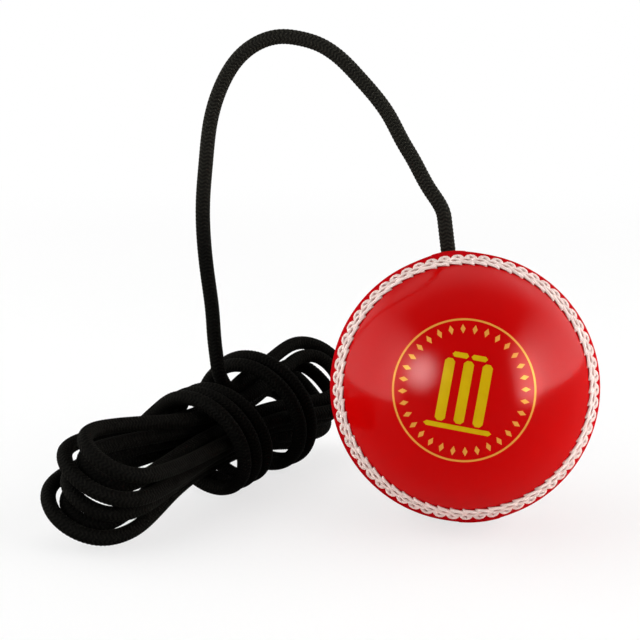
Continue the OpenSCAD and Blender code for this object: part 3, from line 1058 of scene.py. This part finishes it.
# Moulded PVC: an even, deep red under a smooth gloss, a shade more crimson between the two seams
def mouldedPvc(name, withSeam):
    material, tree, shader = startMaterial(name, IOR=1.5)
    coords = addNode(tree, "TexCoord").outputs
    cloud = addNode(tree, "TexNoise", {"Scale": 1 / (14 * mm), "Detail": 2.0}, {"Vector": coords["Object"]})
    colour = addNode(tree, "Mix", {"data_type": "RGBA", 6: pvcSet["deep"], 7: pvcSet["bright"]}, {0: cloud})
    skin = colour.outputs[2]
    if withSeam:
        away = addNode(
            tree, "VectorMath", {"operation": "SUBTRACT", 1: [c * mm for c in ballCentre]},
            {0: coords["Object"]})
        outward = addNode(tree, "VectorMath", {"operation": "NORMALIZE"}, {0: away})
        toPole = addNode(tree, "VectorMath", {"operation": "DOT_PRODUCT", 1: poleDir.tolist()}, {0: outward})
        side = addNode(tree, "Math", {"operation": "ABSOLUTE"}, {0: toPole.outputs["Value"]})
        edge, blur = math.cos(math.radians(seamSet["channel"][0])), pvcSet["seamBlur"]
        inner = addNode(
            tree, "MapRange",
            {"interpolation_type": "SMOOTHSTEP", "From Min": edge + blur, "From Max": edge - blur},
            {"Value": side})
        tinted = addNode(tree, "Mix", {"data_type": "RGBA", 7: pvcSet["seam"]}, {0: inner, 6: skin})
        skin = tinted.outputs[2]
    grain = addNode(tree, "TexNoise", {"Scale": 1 / (1.6 * mm), "Detail": 2.0}, {"Vector": coords["Object"]})
    gloss = addNode(tree, "MapRange", {"To Min": 0.12, "To Max": 0.18}, {"Value": cloud})
    bump = addNode(tree, "Bump", {"Strength": 0.25, "Distance": 0.02 * mm}, {"Height": grain})
    linkInto(tree, shader, {"Base Color": skin, "Roughness": gloss, "Normal": bump})
    softenRim(tree, shader, pvcSet["facing"])
    return material


# Waxed polyester thread: off-white plies twisted together, with painted shade in the grooves of the twist
def waxedThread():
    material, tree, shader = startMaterial(
        "waxedStitchThread", Roughness=0.55, Specular_IOR_Level=0.025, Sheen_Weight=0.01)
    coords = addNode(tree, "TexCoord").outputs
    uv = addNode(tree, "SeparateXYZ", links={0: coords["UV"]})
    twist = addNode(
        tree, "Math", {"operation": "MULTIPLY_ADD", 1: 1 / (1.4 * mm)},
        {0: uv.outputs["Y"], 2: uv.outputs["X"]})
    angle = addNode(tree, "Math", {"operation": "MULTIPLY", 1: 4 * math.pi}, {0: twist})
    wave = addNode(tree, "Math", {"operation": "COSINE"}, {0: angle})
    ply = addNode(tree, "Math", {"operation": "MULTIPLY_ADD", 1: 0.5, 2: 0.5}, {0: wave})
    fluff = addNode(tree, "TexNoise", {"Scale": 1 / (0.35 * mm), "Detail": 3.0}, {"Vector": coords["Object"]})
    height = addNode(tree, "Math", {"operation": "MULTIPLY_ADD", 1: 0.5}, {0: fluff, 2: ply})
    # painted shade: greyer in the grooves between the plies, from their height and fuzz
    shade = addNode(tree, "MapRange", {"From Min": 0.1, "From Max": 1.2}, {"Value": height})
    colour = addNode(tree, "Mix", {"data_type": "RGBA", 6: "#EED3CB", 7: "#FFEAE2"}, {0: shade})
    bump = addNode(tree, "Bump", {"Strength": 0.5, "Distance": 0.1 * mm}, {"Height": height})
    linkInto(tree, shader, {"Base Color": colour.outputs[2], "Normal": bump})
    return material


foilSet = {
    "line": ("#D08A34", "#E09C46"), "block": ("#BE9805", "#D6B20E"), "gleam": "#FFD964", "facing": 0.12,
}


# Hot-stamped foil: a yellow film with a gold gleam, slightly uneven where it was pressed
def goldFoil(name, deep, bright):
    material, tree, shader = startMaterial(name, IOR=1.5, Specular_Tint=hexLinear(foilSet["gleam"]))
    coords = addNode(tree, "TexCoord").outputs
    press = addNode(tree, "TexNoise", {"Scale": 1 / (5 * mm), "Detail": 4.0}, {"Vector": coords["Object"]})
    colour = addNode(tree, "Mix", {"data_type": "RGBA", 6: deep, 7: bright}, {0: press})
    gloss = addNode(tree, "MapRange", {"To Min": 0.2, "To Max": 0.3}, {"Value": press})
    linkInto(tree, shader, {"Base Color": colour.outputs[2], "Roughness": gloss})
    softenRim(tree, shader, foilSet["facing"])
    return material


# Cork and rubber: brown crumbs of cork in a darker binder, matt
def corkRubber():
    material, tree, shader = startMaterial("corkRubber", Roughness=0.85, Specular_IOR_Level=0.25)
    coords = addNode(tree, "TexCoord").outputs
    crumbs = addNode(tree, "TexVoronoi", {"Scale": 1 / (2.2 * mm)}, {"Vector": coords["Object"]})
    tone = addNode(tree, "SeparateColor", links={0: crumbs.outputs["Color"]})
    colour = addNode(tree, "Mix", {"data_type": "RGBA", 6: "#5E3F22", 7: "#B98A56"}, {0: tone})
    bump = addNode(
        tree, "Bump", {"Strength": 0.5, "Distance": 0.3 * mm}, {"Height": crumbs.outputs["Distance"]})
    linkInto(tree, shader, {"Base Color": colour.outputs[2], "Normal": bump})
    return material


# Nylon: milky white, smooth, with a faint haze
def turnedNylon():
    material, tree, shader = startMaterial("turnedNylon", Roughness=0.42, Specular_IOR_Level=0.45)
    coords = addNode(tree, "TexCoord").outputs
    haze = addNode(tree, "TexNoise", {"Scale": 1 / (0.8 * mm), "Detail": 2.0}, {"Vector": coords["Object"]})
    colour = addNode(tree, "Mix", {"data_type": "RGBA", 6: "#DAD8D0", 7: "#EAE8E2"}, {0: haze})
    bump = addNode(tree, "Bump", {"Strength": 0.3, "Distance": 0.05 * mm}, {"Height": haze})
    linkInto(tree, shader, {"Base Color": colour.outputs[2], "Normal": bump})
    return material


def paint(piece, material):
    piece.data.materials.clear()
    piece.data.materials.append(material)


braid, melt, thread = polyesterBraid(), meltedPolyester(), waxedThread()
coverPvc, fittingPvc = mouldedPvc("mouldedRedPvc", True), mouldedPvc("turnedRedPvc", False)
lineFoil = goldFoil("warmGoldFoil", *foilSet["line"])
blockFoil = goldFoil("paleGoldFoil", *foilSet["block"])
cork, nylon = corkRubber(), turnedNylon()
for pieces, material in (
    (cordPieces.values(), braid), (stitchRows.values(), thread), (covers.values(), coverPvc),
    ((grommet, plug), fittingPvc), ((tailTip, lowerTip), melt),
    ((stampBorder,), lineFoil), ((stampWicket,), blockFoil),
):
    for piece in pieces:
        paint(piece, material)
for node, material in (("core", cork), ("knot_washer", nylon)):
    for slot in frame["nodes"][node].material_slots:
        slot.material = material
print("materials made")


def settle(piece, body, slot, *nodes):
    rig.ride(piece, body)
    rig.slot(piece, slot)
    if nodes:
        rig.replaces(piece, *nodes)


def along(distance):
    return tuple((ballCentre + distance * boreDir) * mm)


for node, piece in stitchRows.items():
    settle(piece, "ball", "stitch_thread", node)
for node, piece in covers.items():
    settle(piece, "ball", "red_pvc", node)
settle(grommet, "ball", "red_fitting", "cord_grommet")
settle(plug, "ball", "red_fitting", "knot_plug")
settle(stampBorder, "ball", "red_pvc")
settle(stampWicket, "ball", "red_pvc")
settle(cordPieces["cordInBall"], "hanger", "black_cord", "cord_in_ball")
settle(cordPieces["stopperKnot"], "hanger", "black_cord", "stopper_knot")
settle(lowerTip, "hanger", "melted_cord", "cord_lower_tip")
settle(tailTip, "cord", "melted_cord", "cord_tail_tip")
settle(cordPieces["hankCord"], "cord", "black_cord", "cord_arch", "cord_hank", "cord_tail")

half = cordSet["bendHalf"]
for name, bodies, bend in (
    ("cordLowerBend", ("hanger", "neck"), cordSet["lowerBend"]),
    ("cordUpperBend", ("neck", "cord"), cordSet["upperBend"]),
):
    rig.blend(cordPieces[name], *bodies, start=along(bend - half), end=along(bend + half))
    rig.slot(cordPieces[name], "black_cord")
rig.replaces(cordPieces["cordLowerBend"], "cord_neck")

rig.cord(
    cordPieces["hankCord"], exit=along(cordSet["archStart"]), length=freeAlong[-1] * mm,
    diameter=cordSet["diameter"] * mm, far_end="bare", stiffness="limp", lay="coiled",
    path=[tuple(p * mm) for p in freeRoute[::8]] + [tuple(freeRoute[-1] * mm)], with_pieces=[tailTip])
print("pieces riding on their bodies")


# Floor and soft studio light

studioSet = {
    "floorSize": 40.0,
    "floor": ("#F1F1F0", "#F4F4F3"),
    "middle": (-0.035, 0.015, 0),  # of the object, on the floor
    "whiteShare": (0.72, 1.0),  # of the floor that the camera sees as plain white, near and far
    "whiteFrom": (0.16, 0.7),   # metres from the object
    "world": 0.17,
    # place and aim in metres, width, height, watts; soft boxes light the scene, the tent shows in gloss
    "softBoxes": {
        "leftBox": ((-0.80, 0.0, 0.42), (-0.03, 0, 0.05), 1.2, 0.9, 8.2),
        "rightBox": ((0.74, -0.10, 0.25), (-0.03, 0, 0.05), 1.2, 0.9, 10.2),
        "topBox": ((-0.03, 0.25, 0.95), (-0.03, 0, 0.05), 1.1, 0.8, 3.0),
    },
    "tent": {
        "leftWall": ((-0.55, 0.18, 0.37), (0, 0.18, 0.37), 1.24, 0.74, 39.0),
        "leftLamp": ((-0.51, -0.52, 0.34), (0, 0, 0.037), 0.7, 0.7, 190.0),
        "rightWall": ((0.55, 0.0, 0.45), (0, 0.0, 0.45), 1.6, 0.74, 58.0),
        "rightLamp": ((0.50, -0.45, 0.05), (0, 0, 0.037), 0.3, 0.3, 12.0),
        "roof": ((0, 0.42, 0.85), (0, 0.421, 0), 1.5, 0.8, 7.4),
        "roofCorner": ((0.65, 0.75, 0.85), (0.65, 0.751, 0), 1.0, 1.0, 9.0),
    },
    # share of the light left one metre further back, and the stretch in which it falls
    "fall": {"leftWall": (0.0135, -0.25, 0.3), "rightWall": (0.0135, -0.36, 0.2)},
    "noFall": (1.0, 0, 1),
    # where each panel fades: axis, or distance from its middle, then where it is dark and where bright
    "fades": {
        "leftWall": [("Y", -0.42, -0.15), ("Z", 0.75, 0.33)],
        "leftLamp": [("off", 0.28, 0.0)],
        "rightWall": [("Y", -0.8, -0.5), ("Z", 0.82, 0.25)],
        "rightLamp": [("off", 0.14, 0.02)],
        "roof": [("Y", 0.08, 0.38)],
        "roofCorner": [("off", 0.5, 0.05)],
    },
}


# Share of the rays that see the studio itself and not its light
def seenDirectly(tree):
    rays = addNode(tree, "LightPath")
    seen = addNode(
        tree, "Math", {"operation": "ADD"},
        {0: rays.outputs["Is Camera Ray"], 1: rays.outputs["Is Glossy Ray"]})
    return addNode(
        tree, "Math", {"operation": "ADD", "use_clamp": True},
        {0: seen, 1: rays.outputs["Is Transmission Ray"]})


# Paper floor: matt off-white with hardly any mottling
def paperFloor():
    material, tree, shader = startMaterial("paperFloor", Roughness=0.9, Specular_IOR_Level=0.1)
    coords = addNode(tree, "TexCoord").outputs
    mottle = addNode(tree, "TexNoise", {"Scale": 1 / (60 * mm), "Detail": 2.0}, {"Vector": coords["Object"]})
    deep, bright = studioSet["floor"]
    colour = addNode(tree, "Mix", {"data_type": "RGBA", 6: deep, 7: bright}, {0: mottle})
    linkInto(tree, shader, {"Base Color": colour.outputs[2]})
    seen = seenDirectly(tree)
    away = addNode(
        tree, "VectorMath", {"operation": "DISTANCE", 1: studioSet["middle"]}, {0: coords["Object"]})
    near, far = studioSet["whiteFrom"]
    nearWhite, farWhite = studioSet["whiteShare"]
    whiter = addNode(
        tree, "MapRange",
        {"interpolation_type": "SMOOTHSTEP", "From Min": near, "From Max": far,
         "To Min": nearWhite, "To Max": farWhite},
        {"Value": away.outputs["Value"]})
    share = addNode(tree, "Math", {"operation": "MULTIPLY", "use_clamp": True}, {0: seen, 1: whiter})
    white = addNode(tree, "Emission", {"Color": (1, 1, 1, 1), "Strength": 1.0})
    mixed = addNode(tree, "MixShader", links={0: share, 1: shader, 2: white})
    linkInto(tree, tree.nodes["Material Output"], {"Surface": mixed})
    return material


deselect()
bpy.ops.mesh.primitive_plane_add(size=studioSet["floorSize"])
floor = named("paperFloor")
paint(floor, paperFloor())
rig.stage(floor)

world = bpy.data.worlds.new("studioWorld")
scene.world = world
world.use_nodes = True
tree = world.node_tree
sky = tree.nodes["Background"]
sky.inputs["Color"].default_value = (1, 1, 1, 1)
seen = seenDirectly(tree)
level = addNode(tree, "MapRange", {"To Min": studioSet["world"], "To Max": 1.0}, {"Value": seen})
linkInto(tree, sky, {"Strength": level})


# Brightness that varies over a panel, like cloth lit from one side
def shadePanel(light, middle, fall, fades):
    light.use_nodes = True
    tree = light.node_tree
    here = addNode(tree, "NewGeometry")
    axes = addNode(tree, "SeparateXYZ", links={0: here.outputs["Position"]})
    off = addNode(tree, "VectorMath", {"operation": "DISTANCE", 1: middle}, {0: here.outputs["Position"]})
    left, front, back = fall
    held = addNode(tree, "Clamp", {"Min": front, "Max": back}, {"Value": axes.outputs["Y"]})
    share = addNode(tree, "Math", {"operation": "POWER", 0: left}, {1: held})
    for axis, dark, bright in fades:
        fade = addNode(
            tree, "MapRange", {"interpolation_type": "SMOOTHSTEP", "From Min": dark, "From Max": bright},
            {"Value": off.outputs["Value"] if axis == "off" else axes.outputs[axis]})
        share = addNode(tree, "Math", {"operation": "MULTIPLY"}, {0: share, 1: fade})
    linkInto(tree, tree.nodes["Emission"], {"Strength": share})


for group in ("softBoxes", "tent"):
    for name, (place, aim, width, height, watts) in studioSet[group].items():
        deselect()
        bpy.ops.object.light_add(type="AREA", location=place)
        box = named(name)
        box.rotation_euler = (Vector(aim) - Vector(place)).to_track_quat("-Z", "Y").to_euler()
        box.data.shape = "RECTANGLE"
        box.data.size, box.data.size_y = width, height
        box.data.energy = watts
        box.visible_camera = False
        box.visible_diffuse, box.visible_glossy = group == "softBoxes", group == "tent"
        if name in studioSet["fades"]:
            fall = studioSet["fall"].get(name, studioSet["noFall"])
            shadePanel(box.data, place, fall, studioSet["fades"][name])
print("studio lit")

visualBox = [list(corner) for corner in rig.bounds()]
with open("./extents.json", "w") as out:
    json.dump({"cad": cadBox, "visual": visualBox}, out)
